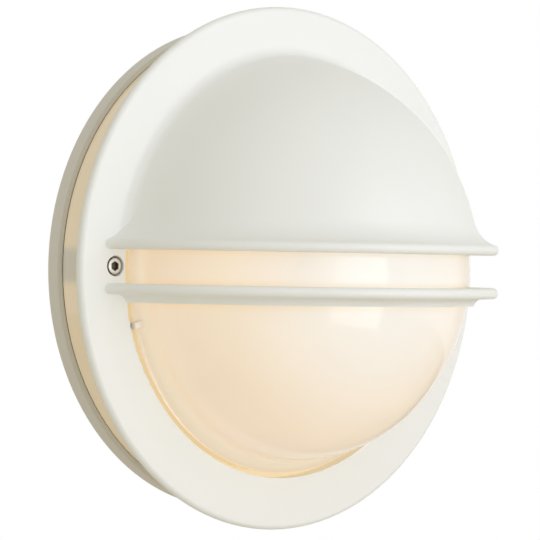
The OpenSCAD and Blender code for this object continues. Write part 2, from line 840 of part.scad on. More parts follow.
module holder_bracket() {
    upright = lamp_out - tray_front + holder_r * 0.7;
    color(steel) difference() {
        translate([holder_back - bracket_t, -tray_front, -bracket_w / 2])
            mirror([0, 1, 0]) linear_extrude(bracket_w) bracket_section(bracket_foot, upright);
        for (side = [-1, 1]) {
            at_wall(bracket_screw_x, side * bracket_screw_z, tray_front - cut)
                cylinder(r = small_screw_r + hole_gap, h = bracket_t + 2 * cut);
            translate([holder_back - bracket_t - cut, -lamp_out, side * holder_screw_z])
                rotate([0, 90, 0])
                    cylinder(r = small_screw_r + hole_gap, h = bracket_t + 2 * cut);
        }
        wire_way(tray_front - cut, tray_front + bracket_t + cut);
    }
}

module bracket_screw_upper() {
    at_wall(bracket_screw_x, bracket_screw_z, tray_front + bracket_t)
        small_screw(holder_screw_len);
}

module bracket_screw_lower() {
    at_wall(bracket_screw_x, -bracket_screw_z, tray_front + bracket_t)
        small_screw(holder_screw_len);
}

// The porcelain holder's section along the lamp's axis
module holder_section() {
    mouth_round = 2;
    mouth_band = 12;
    back_band = holder_back_t - 4;
    waist = 1.5;
    difference() {
        union() {
            square([holder_r - waist, holder_len - mouth_round]);
            translate([0, 2]) square([holder_r, back_band]);
            translate([0, holder_len - mouth_band])
                square([holder_r, mouth_band - mouth_round]);
            translate([0, holder_len - 2 * mouth_round])
                square([holder_r - mouth_round, 2 * mouth_round]);
            translate([holder_r - mouth_round, holder_len - mouth_round]) circle(mouth_round);
        }
        translate([-holder_r, 0]) square([holder_r, holder_len]);
        translate([0, holder_back_t]) square([sleeve_r + 0.1, holder_len]);
    }
}

module lampholder_body() {
    tap_deep = 8;
    color(porcelain) difference() {
        on_lamp_axis(holder_back) rotate_extrude() holder_section();
        for (side = [-1, 1]) {
            translate([holder_back - cut, -lamp_out, side * holder_screw_z]) rotate([0, 90, 0])
                cylinder(r = small_screw_r + thread_gap, h = tap_deep + cut);
            at_wall(wire_hole_x, side * wire_hole_z, lamp_out - holder_r - cut)
                cylinder(r = wire_hole_r, h = holder_side + wire_bite + 2 * cut
                    - lamp_out + holder_r);
        }
    }
}

module lampholder_sleeve() {
    lip = 1;
    color(brass) on_lamp_axis(cup_floor) rotate_extrude() {
        translate([sleeve_r - sleeve_t, 0]) square([sleeve_t, socket_mouth - cup_floor - lip]);
        translate([sleeve_r - 3, 0]) square([3, sleeve_t]);
    }
}

module lampholder_contact() {
    strip_w = 6;
    strip_len = 18;
    color(brass) translate([cup_floor, -lamp_out - strip_w / 2, -strip_len / 2])
        cube([contact_t, strip_w, strip_len]);
}

// A screw that holds the lampholder to its bracket
module holder_screw(side) {
    translate([holder_back - bracket_t, -lamp_out, side * holder_screw_z])
        rotate([0, -90, 0]) small_screw(holder_screw_len);
}

module holder_screw_upper() {
    holder_screw(1);
}

module holder_screw_lower() {
    holder_screw(-1);
}

// The lamp's section from its tip to its bulb, a sealed whole
module lamp_section() {
    tip_r = 4.5;
    tip_h = 3;
    glass_r = cap_r - 0.6;
    bulb_z = lamp_len - bulb_r;
    // the neck's hollow curve leaves the cap straight and touches the bulb
    neck_r = (pow(bulb_z - cap_len, 2) + pow(glass_r, 2) - pow(bulb_r, 2))
        / (2 * (bulb_r - glass_r));
    neck_c = [glass_r + neck_r, cap_len];
    touch = [0, bulb_z] + (neck_c - [0, bulb_z]) * bulb_r / (bulb_r + neck_r);
    polygon([[0, 0], [tip_r, 0], [cap_r, tip_h], [cap_r, cap_len], [0, cap_len]]);
    intersection() {
        translate([0, bulb_z]) circle(bulb_r);
        square([bulb_r, lamp_len]);
    }
    difference() {
        polygon([[0, cap_len - cut], [glass_r, cap_len - cut], [glass_r, cap_len],
            [touch[0] + 0.001, cap_len], touch, [0, bulb_z]]);
        translate(neck_c) circle(neck_r);
    }
}

module lamp() {
    color(opal) on_lamp_axis(lamp_tip) rotate_extrude() lamp_section();
}

// The terminal block's section: a low web and a raised barrel for each pole
module block_section() {
    barrel_w = 7;
    corner = 1.2;
    translate([-1.5 * pole_pitch, 0]) square([3 * pole_pitch, web_top - block_foot]);
    for (pole = [-1, 0, 1]) translate([pole * pole_pitch - barrel_w / 2, 0]) {
        square([barrel_w, block_h - corner]);
        translate([corner, 0]) square([barrel_w - 2 * corner, block_h]);
        for (x = [corner, barrel_w - corner]) translate([x, block_h - corner]) circle(corner);
    }
}

module terminal_block() {
    head_well_r = 3;
    color(white_plastic) difference() {
        translate([block_x, -block_foot, block_z - block_w / 2])
            mirror([0, 1, 0]) linear_extrude(block_w) block_section();
        for (pole = [-1, 0, 1]) {
            translate([block_x + pole * pole_pitch, -insert_out, block_z - block_w / 2 - cut])
                cylinder(r = insert_r + 0.1, h = block_w + 2 * cut);
            for (side = [-1, 1])
                at_wall(block_x + pole * pole_pitch, block_z + side * clamp_z, insert_out)
                    cylinder(r = clamp_head_r + slip_gap, h = block_h);
        }
        at_wall(fixing_x, block_z, 0) cylinder(r = fixing_r + hole_gap, h = block_h * 2);
        at_wall(fixing_x, block_z, web_top) cylinder(r = head_well_r, h = block_h);
    }
}

// A brass insert with its wire space and two threaded holes
module terminal_insert(pole) {
    color(brass) difference() {
        translate([block_x + pole * pole_pitch, -insert_out, block_z - insert_len / 2])
            cylinder(r = insert_r, h = insert_len);
        translate([block_x + pole * pole_pitch, -insert_out, block_z - insert_len])
            cylinder(r = insert_bore_r, h = 2 * insert_len);
        for (side = [-1, 1])
            at_wall(block_x + pole * pole_pitch, block_z + side * clamp_z, insert_out)
                cylinder(r = clamp_r + thread_gap, h = block_h);
    }
}

module terminal_insert_live() {
    terminal_insert(-1);
}

module terminal_insert_neutral() {
    terminal_insert(0);
}

module terminal_insert_earth() {
    terminal_insert(1);
}

// The two clamp screws of one pole, down onto the wire
module terminal_screws(pole) {
    head_h = 1.6;
    slot_w = 0.6;
    seat = insert_r;
    color(steel) for (side = [-1, 1])
        at_wall(block_x + pole * pole_pitch, block_z + side * clamp_z, insert_out)
            difference() {
                union() {
                    translate([0, 0, wire_r]) cylinder(r = clamp_r, h = seat - wire_r + cut);
                    translate([0, 0, seat]) cylinder(r = clamp_head_r, h = head_h);
                }
                translate([-clamp_head_r, -slot_w / 2, seat + head_h / 2])
                    cube([2 * clamp_head_r, slot_w, head_h]);
            }
}

module terminal_screws_live() {
    terminal_screws(-1);
}

module terminal_screws_neutral() {
    terminal_screws(0);
}

module terminal_screws_earth() {
    terminal_screws(1);
}

module terminal_fixing_screw() {
    head_r = 2.75;
    head_h = 1.8;
    color(steel) at_wall(fixing_x, block_z, back_hollow + hole_gap) difference() {
        union() {
            cylinder(r = fixing_r, h = web_top - back_hollow);
            translate([0, 0, web_top - back_hollow - hole_gap]) cylinder(r = head_r, h = head_h);
        }
        translate([-head_r, -0.4, web_top - back_hollow + head_h / 2])
            cube([2 * head_r, 0.8, head_h]);
    }
}

module earth_screw() {
    at_wall(earth_x, earth_z, lug_out + lug_t + washer_t)
        small_screw(lug_out + lug_t + washer_t - back_hollow - hole_gap);
}

module earth_washer() {
    color(steel) at_wall(earth_x, earth_z, lug_out + lug_t)
        ring(small_screw_r + hole_gap, small_head_r + 0.5, 0, washer_t);
}

module earth_lug() {
    eye_r = 4.6;
    tongue_w = 3.6;
    color(brass) difference() {
        union() {
            at_wall(earth_x, earth_z, lug_out) cylinder(r = eye_r, h = lug_t);
            at_wall(earth_x, earth_z, lug_out) translate([-tongue_w / 2, barrel_z - earth_z - 1, 0])
                cube([tongue_w, earth_z - barrel_z + 1, lug_t]);
            translate([earth_x, -barrel_out, barrel_z - barrel_len])
                cylinder(r = barrel_r, h = barrel_len);
        }
        at_wall(earth_x, earth_z, 0) cylinder(r = small_screw_r + hole_gap, h = base_h);
        translate([earth_x, -barrel_out, barrel_z - barrel_len - cut])
            cylinder(r = barrel_r - lug_t, h = barrel_len + 2 * cut);
    }
}

// The supply entry's rubber grommet, held by a flange on each side of the base's plate
module cable_grommet() {
    color(dark_rubber) at_wall(entry_x, entry_z, 0) rotate_extrude() difference() {
        union() {
            translate([0, wall_gap]) square([entry_r + entry_lip, back_hollow - wall_gap]);
            translate([0, wall_gap]) square([entry_r - thread_gap, entry_front]);
            polygon([[0, entry_front], [entry_r + entry_lip, entry_front],
                [entry_r + entry_lip, entry_front + grommet_lip_t],
                [cable_way_r + grommet_wall, entry_front + grommet_nose],
                [0, entry_front + grommet_nose]]);
        }
        translate([-entry_r, 0]) square([entry_r + cable_way_r, entry_front + 2 * grommet_nose]);
    }
}

// The plug in the unused entry
module blanking_plug() {
    wall = 1.5;
    color(dark_rubber) at_wall(entry_x, -entry_z, 0) rotate_extrude() difference() {
        union() {
            translate([0, wall_gap]) square([entry_r + entry_lip, back_hollow - wall_gap]);
            translate([0, wall_gap]) square([entry_r - thread_gap, entry_front]);
            translate([0, entry_front]) square([entry_r + entry_lip, wall]);
        }
        translate([0, wall_gap + wall]) square([entry_r - 2 * wall, entry_front + wall]);
    }
}

// A smooth curve through a route's points, and a round tube swept along it
function unit(v) = v / norm(v);
function along_curve(a, b, c, d, t) = 0.5 * (2 * b + (c - a) * t
    + (2 * a - 5 * b + 4 * c - d) * t * t + (3 * b - a - 3 * c + d) * t * t * t);
function smooth(route, steps) = let (last = len(route) - 1)
    [for (i = [0:last - 1]) for (j = [0:steps - 1])
        along_curve(route[max(i - 1, 0)], route[i], route[i + 1], route[min(i + 2, last)],
            j / steps), route[last]];
function square_to(n, t) = unit(n - (n * t) * t);

module wire(route, steps) {
    sides = 8;
    path = [for (p = smooth(route, steps)) [p[0], -p[2], p[1]]];
    count = len(path);
    ahead = [for (i = [0:count - 1])
        unit(path[min(i + 1, count - 1)] - path[max(i - 1, 0)])];
    across = [for (i = 0, n = square_to([0, 1, 0], ahead[0]); i < count;
        i = i + 1, n = square_to(n, ahead[min(i, count - 1)])) n];
    points = [for (i = [0:count - 1]) for (k = [0:sides - 1])
        path[i] + wire_r * (cos(k * 360 / sides) * across[i]
            + sin(k * 360 / sides) * cross(ahead[i], across[i]))];
    walls = [for (i = [0:count - 2]) for (k = [0:sides - 1]) let (m = (k + 1) % sides)
        [i * sides + k, (i + 1) * sides + k, (i + 1) * sides + m, i * sides + m]];
    polyhedron(points, concat(walls, [[for (k = [0:sides - 1]) k]],
        [[for (k = [0:sides - 1]) count * sides - 1 - k]]), convexity = 6);
}

module live_wire() {
    color(live_brown) wire(live_route, 3);
}

module neutral_wire() {
    color(neutral_blue) wire(neutral_route, 3);
}

module earth_wire() {
    color(earth_green) wire(earth_route, 3);
}

base_housing();
base_seal();
diffuser();
front_cover();
cover_screw_left();
cover_screw_right();
pillar_seal_left();
pillar_seal_right();
diffuser_clip_upper_left();
diffuser_clip_lower_left();
diffuser_clip_upper_right();
diffuser_clip_lower_right();
gear_tray();
tray_screw_top();
tray_screw_left();
tray_screw_right();
holder_bracket();
bracket_screw_upper();
bracket_screw_lower();
lampholder_body();
lampholder_sleeve();
lampholder_contact();
holder_screw_upper();
holder_screw_lower();
lamp();
terminal_block();
terminal_insert_live();
terminal_insert_neutral();
terminal_insert_earth();
terminal_screws_live();
terminal_screws_neutral();
terminal_screws_earth();
terminal_fixing_screw();
earth_screw();
earth_washer();
earth_lug();
cable_grommet();
blanking_plug();
live_wire();
neutral_wire();
earth_wire();
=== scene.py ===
"""Round wall light with a half hood: its finishes, its fine parts and its studio.

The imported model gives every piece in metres: the wall is the plane Y = 0, the light faces -Y
and +Z is up. The castings and mouldings keep a smoothed copy of their solids. Geometry Nodes
cut the threads, knurl the cover screws, roll the lamp's cap and lay the inner wires.
"""

import json
import math

import bmesh
import bpy
from mathutils import Matrix, Vector


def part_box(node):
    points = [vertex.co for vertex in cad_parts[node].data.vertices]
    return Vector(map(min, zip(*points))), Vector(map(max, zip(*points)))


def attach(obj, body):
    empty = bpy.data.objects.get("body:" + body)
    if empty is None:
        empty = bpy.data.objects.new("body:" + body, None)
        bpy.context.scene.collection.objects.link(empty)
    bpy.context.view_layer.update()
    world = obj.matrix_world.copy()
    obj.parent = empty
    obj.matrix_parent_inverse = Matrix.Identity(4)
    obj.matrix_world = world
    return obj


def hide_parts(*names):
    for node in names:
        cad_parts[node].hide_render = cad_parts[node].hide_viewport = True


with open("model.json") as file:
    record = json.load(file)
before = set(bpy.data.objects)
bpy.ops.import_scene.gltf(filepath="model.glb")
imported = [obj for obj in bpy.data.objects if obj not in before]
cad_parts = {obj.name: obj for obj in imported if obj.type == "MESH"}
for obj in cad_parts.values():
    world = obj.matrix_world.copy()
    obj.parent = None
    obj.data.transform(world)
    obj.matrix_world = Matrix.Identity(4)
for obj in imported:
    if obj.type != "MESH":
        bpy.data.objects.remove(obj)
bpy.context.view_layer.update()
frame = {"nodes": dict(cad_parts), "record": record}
nodes = frame["nodes"]
slots = {part["node"]: part["material_slot"] for part in frame["record"]["subparts"]}

MM = 0.001
UP = Vector((0, 0, 1))
FACING = Vector((0, -1, 0))
LEFTWARD = Vector((-1, 0, 0))

# Where the photograph was taken from, measured from the middle of the cover's front rim
RIM_OUT = 38.5 * MM
VIEW_AZIMUTH = -41.32
VIEW_ELEVATION = 0.20
VIEW_ROLL = 0.99
VIEW_DISTANCE = 1800 * MM
VIEW_SLIDE = 8.68 * MM
VIEW_LIFT = 0.76 * MM
LENS = 228.05
SENSOR = 36.0
NEAREST_SEEN = 0.05
FARTHEST_SEEN = 50

# The soft lamps, each in a direction from the light's middle
LAMP_DISTANCE = 2.2
LAMPS = {
    "softbox": {"azimuth": 22.5, "elevation": 7.0, "size": (1.13, 2.3), "power": 14},
    "fill": {"azimuth": -55, "elevation": 5, "size": (0.8, 1.6), "power": 3,
             "colour": (1.0, 0.98, 0.87)},
}

# What the dome mirrors: a glow in its slot and a smaller one below its crossbar
GLOW_STRIPS = 7
GLOWS = {
    "glow": {"span": (7.5, 34.8), "elevation": 4.0, "distance": 2.25, "height": 2.6,
             "peak": 2.05, "bend": 1.3},
    "low_glow": {"span": (3.0, 29.0), "elevation": -16.6, "distance": 0.55, "height": 0.084,
                 "peak": 1.72, "bend": 0.5},
}

# The world's light from behind the wall, from the sides and from in front
WORLD_BEHIND = (0.41, 0.375, 0.26)
WORLD_BESIDE = (0.56, 0.537, 0.432)
WORLD_IN_FRONT = (0.83, 0.848, 0.93)
BESIDE_AT = 0.58

# The floor, which looks paler to the camera than to the light
FLOOR_R = 1.15
FLOOR_MIDDLE = (0, -0.05, -0.30)
FLOOR_COLOUR = (0.90, 0.865, 0.80)
FLOOR_SEEN_COLOUR = (0.93, 0.93, 0.93)
FLOOR_SEEN_GLOW = 0.36

# The base's front edge, and the band behind it that painted shade darkens
BASE_FRONT = 8.0 * MM
BAND_SHADE_FROM = 1.5 * MM
BAND_SHADE_FULL = 0.7 * MM
BAND_SHADE_TINT = (0.83, 0.82, 0.76)

# The diffuser's sizes that its painted glow follows
DOME_R = 100.5 * MM
COVE_R = 107.5 * MM
COVE_BACK = 46.0 * MM
SKIRT_FRONT = 32.0 * MM
SKIRT_IN_R = 121.0 * MM
PILLAR_R = 6.6 * MM

# Its painted glow from the dome's middle to its foot, then over the cove to the cove's outer edge
DOME_GLOW = (
    (0.25, (0.40, 0.40, 0.42)), (0.50, (0.42, 0.395, 0.385)), (0.69, (0.435, 0.37, 0.32)),
    (0.87, (0.455, 0.355, 0.26)), (1.0, (0.45, 0.345, 0.255)))
COVE_GLOW = (
    (0.0, (0.445, 0.345, 0.25)), (0.22, (0.42, 0.33, 0.235)), (0.45, (0.375, 0.285, 0.19)),
    (0.60, (0.33, 0.245, 0.155)), (0.78, (0.265, 0.18, 0.10)), (1.0, (0.26, 0.165, 0.075)))
# Painted glow in the groove and the skirt, and the painted shadow of the skirt's screw pillars
GROOVE_GLOW = (0.38, 0.27, 0.13)
SKIRT_GLOW = (0.26, 0.185, 0.10)
PILLAR_SHADE = (0.084, 0.079, 0.067)

# Tints over the painted glow, each with the places where it starts and where it is full:
# it dims and warms with height, painted shade dims it in the left part of the slot, by the
# slot's edges and on the far flank, and it is paler low down
HEIGHT_TINT = (0.98, 0.93, 0.89)
HEIGHT_OVER = (10 * MM, 75 * MM)
SLOT_SHADE = (0.985, 0.963, 0.935)
SLOT_OVER = (-25 * MM, -60 * MM)
SLOT_ENDS = (14 * MM, 10 * MM)
EDGE_SHADE = (1.0, 0.89, 0.72)
EDGE_OVER = (6 * MM, 9 * MM)
EDGE_ENDS = (22 * MM, 18 * MM)
FLANK_SHADE = (0.60, 0.53, 0.48)
FLANK_TOWARD = (0.660, 0.751, 0)
FLANK_OVER = (-47 * MM, -26 * MM)
FOOT_TINT = (1.05, 1.075, 1.15)
FOOT_OVER = (-60 * MM, -88 * MM)

# The noise values between which a finish drifts from one tone to another
NOISE_LOW = 0.3
NOISE_HIGH = 0.7

# From how many degrees two faces meet in an edge that shows
CASTING_EDGE = 30
PART_EDGE = 35
WIRE_EDGE = 40
FLAT_WITHIN = 0.5

MERGE_WITHIN = 0.002 * MM
SAME_WITHIN = 0.05 * MM

# A machine thread's depth over its pitch, and the lamp cap's round thread
THREAD_DEPTH = 0.45
CAP_PITCH = 3.6 * MM
CAP_PLAIN_END = 3.0 * MM


# Node trees


class Tree:
    """A node tree being put together."""

    def __init__(self, tree):
        self.tree = tree

    def feed(self, socket, value):
        """Gives a socket another node's output, a colour, a number or a vector."""
        if isinstance(value, bpy.types.NodeSocket):
            self.tree.links.new(value, socket)
        elif socket.type == "RGBA":
            socket.default_value = (*value, 1)
        else:
            socket.default_value = value

    def add(self, kind, inputs=None, **settings):
        node = self.tree.nodes.new(kind)
        for key, value in settings.items():
            setattr(node, key, value)
        for key, value in (inputs or {}).items():
            self.feed(node.inputs[key], value)
        return node

    def math(self, operation, a, b=0.0):
        return self.add("ShaderNodeMath", {0: a, 1: b}, operation=operation).outputs[0]

    def vector(self, operation, inputs):
        return self.add("ShaderNodeVectorMath", inputs, operation=operation).outputs

    def split(self, place):
        """The X, Y and Z of a place or a direction."""
        parts = self.add("ShaderNodeSeparateXYZ", {0: place}).outputs
        return parts["X"], parts["Y"], parts["Z"]

    def spread(self, value, low, high, to_low=0.0, to_high=1.0, smooth=False):
        """How far a value is on its way from low to high, from to_low up to to_high."""
        way = "SMOOTHSTEP" if smooth else "LINEAR"
        node = self.add("ShaderNodeMapRange", {
            "Value": value, "From Min": low, "From Max": high, "To Min": to_low,
            "To Max": to_high}, interpolation_type=way)
        return node.outputs["Result"]

    def ramp(self, value, *stops):
        """A colour that runs through the stops, each given as (value, colour)."""
        node = self.add("ShaderNodeValToRGB", {"Fac": value})
        line = node.color_ramp
        while len(line.elements) < len(stops):
            line.elements.new(0.5)
        for element, (at, colour) in zip(line.elements, stops):
            element.position = at
            element.color = (*colour, 1)
        return node.outputs["Color"]


# Finishes


class Finish(Tree):
    """A material being put together from its nodes."""

    def __init__(self, name):
        self.material = bpy.data.materials.new(name)
        self.material.use_nodes = True
        super().__init__(self.material.node_tree)
        self.face = self.tree.nodes["Principled BSDF"]
        self.place = self.add("ShaderNodeTexCoord").outputs["Object"]

    def set(self, **values):
        """Feeds the shader's sockets, named with an underline for each space."""
        for key, value in values.items():
            self.feed(self.face.inputs[key.replace("_", " ")], value)

    def noise(self, scale, detail, roughness=0.55):
        node = self.add("ShaderNodeTexNoise", {
            "Vector": self.place, "Scale": scale, "Detail": detail, "Roughness": roughness})
        return node.outputs["Fac"]

    def mottle(self, scale, detail, dark, light):
        """A colour that drifts between a dark tone and a light one."""
        return self.ramp(self.noise(scale, detail), (NOISE_LOW, dark), (NOISE_HIGH, light))

    def patches(self, scale, detail, low, high):
        """A number that drifts between two values."""
        return self.spread(self.noise(scale, detail), NOISE_LOW, NOISE_HIGH, low, high)

    def blend(self, share, first, second, kind="MIX"):
        node = self.add("ShaderNodeMix", {"Factor": share}, data_type="RGBA", blend_type=kind)
        for letter, colour in (("A", first), ("B", second)):
            self.feed(next(s for s in node.inputs if s.name == letter and s.type == "RGBA"),
                      colour)
        return next(s for s in node.outputs if s.type == "RGBA")

    def tinted(self, colour, share, tint):
        return self.blend(share, colour, tint, "MULTIPLY")

    def radius(self):
        """How far a point is from the light's axis."""
        flat = self.vector("MULTIPLY", {0: self.place, 1: (1, 0, 1)})["Vector"]
        return self.vector("LENGTH", {0: flat})["Value"]

    def toward(self, direction):
        """How far a point lies in a direction."""
        return self.vector("DOT_PRODUCT", {0: self.place, 1: direction})["Value"]

    def bump(self, height, strength, depth, under=None):
        """Roughens the surface, on top of another bump where one is given."""
        node = self.add("ShaderNodeBump", {
            "Height": height, "Strength": strength, "Distance": depth})
        if under:
            self.feed(node.inputs["Normal"], under)
        self.set(Normal=node.outputs["Normal"])
        return node.outputs["Normal"]


def shade(colour, factor):
    return tuple(c * factor for c in colour)


def powder_coat(name, colour, gloss=(0.42, 0.56), shaded_edge_out=None):
    """Satin powder coat: a faint cloud of tone over a fine orange peel.

    Where a front edge's distance out is given, painted shade darkens a band just behind it.
    """
    peel, depth = 1500, 0.04 * MM
    f = Finish(name)
    coat = f.mottle(14, 2, shade(colour, 0.985), colour)
    if shaded_edge_out:
        # A darker band painted just behind the front edge as shade
        y = f.split(f.place)[1]
        band_shade = f.spread(y, -shaded_edge_out + BAND_SHADE_FROM, -shaded_edge_out + BAND_SHADE_FULL)
        coat = f.tinted(coat, band_shade, BAND_SHADE_TINT)
    f.set(Base_Color=coat, Roughness=f.patches(peel / 3, 2, *gloss))
    wave = f.bump(f.noise(peel / 6, 2, 0.4), 0.25, depth)
    f.bump(f.noise(peel, 2, 0.5), 0.3, depth / 2, under=wave)
    return f.material


def opal_painted_glow(name):
    """Opal plastic with a painted glow that stands in for the lamp's light shining through it.

    The painted glow is whitest in the dome's middle and warmer toward its foot, and painted
    shade makes it warmer by the slot's edges and dim on its far flank. The groove around its
    foot has a painted amber glow. The skirt has a dim painted glow, with a painted shadow where
    one of its two screw pillars stands.
    """
    f = Finish(name)
    x, y, z = f.split(f.place)
    radius = f.radius()
    height = f.math("ABSOLUTE", z)
    glow = f.ramp(f.spread(radius, 0, DOME_R), *DOME_GLOW)
    glow = f.tinted(glow, f.spread(height, *HEIGHT_OVER), HEIGHT_TINT)
    # Painted shade in the left part of the slot, by the slot's edges and on the dome's far flank
    slot_shade_mask = f.math("MULTIPLY", f.spread(x, *SLOT_OVER), f.spread(height, *SLOT_ENDS))
    glow = f.tinted(glow, slot_shade_mask, SLOT_SHADE)
    edge_shade_mask = f.math("MULTIPLY", f.spread(height, *EDGE_OVER), f.spread(height, *EDGE_ENDS))
    glow = f.tinted(glow, edge_shade_mask, EDGE_SHADE)
    glow = f.tinted(glow, f.spread(f.toward(FLANK_TOWARD), *FLANK_OVER), FLANK_SHADE)
    cove = f.ramp(f.spread(radius, DOME_R, COVE_R), *COVE_GLOW)
    glow = f.blend(f.spread(radius, DOME_R, DOME_R + 0.3 * MM), glow, cove)
    glow = f.tinted(glow, f.spread(z, *FOOT_OVER), FOOT_TINT)
    groove = f.math("MULTIPLY", f.spread(radius, COVE_R - 0.3 * MM, COVE_R - 0.1 * MM),
                    f.spread(y, -COVE_BACK, -COVE_BACK + 2 * MM))
    glow = f.blend(groove, glow, GROOVE_GLOW)
    skirt = f.math("MULTIPLY", f.spread(radius, SKIRT_IN_R - MM, SKIRT_IN_R),
                   f.spread(y, -SKIRT_FRONT - MM, -SKIRT_FRONT))
    clear = f.spread(height, PILLAR_R - 1 * MM, PILLAR_R + 5 * MM, smooth=True)
    glow = f.blend(skirt, glow, f.blend(clear, PILLAR_SHADE, SKIRT_GLOW))
    # The base colour is a dim warm cream, tinted like the lit opal, under the painted glow
    f.set(Base_Color=f.mottle(30, 2, (0.60, 0.56, 0.475), (0.62, 0.58, 0.49)),
          Roughness=f.patches(60, 2, 0.35, 0.5), Specular_IOR_Level=0.0, Coat_Weight=1.0,
          Coat_IOR=1.5, Coat_Roughness=0.09, Emission_Color=glow, Emission_Strength=1.0)
    f.bump(f.noise(45, 2), 0.08, 0.04 * MM)
    return f.material


def moulded_rubber(name):
    """Black rubber with a faint bloom and the fine grain of its mould."""
    f = Finish(name)
    f.set(Base_Color=f.mottle(500, 3, (0.040, 0.037, 0.030), (0.065, 0.058, 0.047)),
          Roughness=f.patches(300, 2, 0.62, 0.8))
    f.bump(f.noise(1800, 2), 0.4, 0.03 * MM)
    return f.material


def turned_metal(name, colour, rough=(0.22, 0.36)):
    """Plain metal with faint blotches and a fine tool grain."""
    grain = 2500
    f = Finish(name)
    f.set(Metallic=1.0, Base_Color=f.mottle(600, 2, shade(colour, 0.9), colour),
          Roughness=f.patches(grain, 3, *rough))
    f.bump(f.noise(grain, 2), 0.15, 0.01 * MM)
    return f.material


def smooth_plain(name, colour, rough=(0.3, 0.42)):
    """Glaze, moulded plastic or insulation: nearly even, with a soft surface ripple."""
    ripple = 900
    f = Finish(name)
    f.set(Base_Color=f.mottle(60, 2, shade(colour, 0.96), colour),
          Roughness=f.patches(ripple / 4, 2, *rough))
    f.bump(f.noise(ripple, 2), 0.2, 0.01 * MM)
    return f.material


FINISHES = {
    "cover_coat": powder_coat("cover_coat", (0.90, 0.91, 0.885)),
    # The base wears the cover's white coat; its colour here is darker and warmer as painted shade
    "base_coat": powder_coat("base_coat", (0.725, 0.70, 0.65), shaded_edge_out=BASE_FRONT),
    "opal_plastic": opal_painted_glow("opal_plastic"),
    "rubber": moulded_rubber("rubber"),
    "steel": turned_metal("steel", (0.72, 0.72, 0.70)),
    "spring_steel": turned_metal("spring_steel", (0.93, 0.92, 0.89), (0.4, 0.5)),
    # Dark steel painted into the cover screws' sockets and onto their heads' sides as shade
    "dark_socket": turned_metal("dark_socket", (0.24, 0.22, 0.175), (0.5, 0.6)),
    "zinc_plate": turned_metal("zinc_plate", (0.66, 0.67, 0.69), (0.3, 0.45)),
    "tray_coat": powder_coat("tray_coat", (0.90, 0.90, 0.88), gloss=(0.25, 0.35)),
    "porcelain": smooth_plain("porcelain", (0.88, 0.87, 0.82), (0.08, 0.16)),
    "brass": turned_metal("brass", (0.78, 0.60, 0.30)),
    "lamp_glass": smooth_plain("lamp_glass", (0.95, 0.92, 0.84), (0.35, 0.45)),
    "block_plastic": smooth_plain("block_plastic", (0.88, 0.88, 0.85), (0.35, 0.5)),
    "brown_insulation": smooth_plain("brown_insulation", (0.20, 0.09, 0.04)),
    "blue_insulation": smooth_plain("blue_insulation", (0.03, 0.12, 0.42)),
    "green_insulation": smooth_plain("green_insulation", (0.12, 0.35, 0.06)),
}


# Studio


def from_middle(azimuth, elevation):
    """The direction of a camera or lamp, with azimuth 0 straight in front of the light."""
    az, el = math.radians(azimuth), math.radians(elevation)
    return Vector((math.sin(az) * math.cos(el), -math.cos(az) * math.cos(el), math.sin(el)))


def place_camera():
    back = from_middle(VIEW_AZIMUTH, VIEW_ELEVATION)
    roll = math.radians(VIEW_ROLL)
    right = (-back).cross(UP).normalized()
    up = right.cross(-back)
    right_rolled = math.cos(roll) * right + math.sin(roll) * up
    up_rolled = -math.sin(roll) * right + math.cos(roll) * up
    spot = VIEW_DISTANCE * back - VIEW_SLIDE * right_rolled - VIEW_LIFT * up_rolled
    spot += RIM_OUT * FACING
    lens = bpy.data.cameras.new("camera")
    lens.lens = LENS
    lens.sensor_width = SENSOR
    lens.clip_start = NEAREST_SEEN
    lens.clip_end = FARTHEST_SEEN
    camera = bpy.data.objects.new("camera", lens)
    bpy.context.collection.objects.link(camera)
    turn = Matrix((right_rolled, up_rolled, back)).transposed()
    camera.matrix_world = Matrix.Translation(spot) @ turn.to_4x4()
    bpy.context.scene.camera = camera


def soft_lamp(name, azimuth, elevation, distance, size, power, colour=(1, 1, 1)):
    """A soft lamp that aims at the light's middle."""
    away = from_middle(azimuth, elevation)
    lamp = bpy.data.lights.new(name, "AREA")
    lamp.shape = "RECTANGLE"
    lamp.size, lamp.size_y = size
    lamp.energy = power
    lamp.color = colour
    obj = bpy.data.objects.new(name, lamp)
    bpy.context.collection.objects.link(obj)
    obj.location = away * distance
    obj.rotation_euler = (-away).to_track_quat("-Z", "Y").to_euler()
    return obj


def mirrored_glow(name, span, elevation, distance, height, peak, bend):
    """A row of upright strips that only gloss mirrors, over a span of azimuths.

    It starts as bright as white and rises to its peak at a sharp end: evenly where bend is 1,
    late where it is more and early where it is less.
    """
    first, last = span
    step = (last - first) / GLOW_STRIPS
    width = 2 * distance * math.tan(math.radians(step / 2))
    for k in range(GLOW_STRIPS):
        strength = 1 + (peak - 1) * ((k + 1) / GLOW_STRIPS) ** bend
        strip = soft_lamp("%s_%d" % (name, k), first + (k + 0.5) * step, elevation, distance,
                          (width, height), strength * math.pi * width * height)
        strip.visible_diffuse = False
        strip.visible_transmission = False


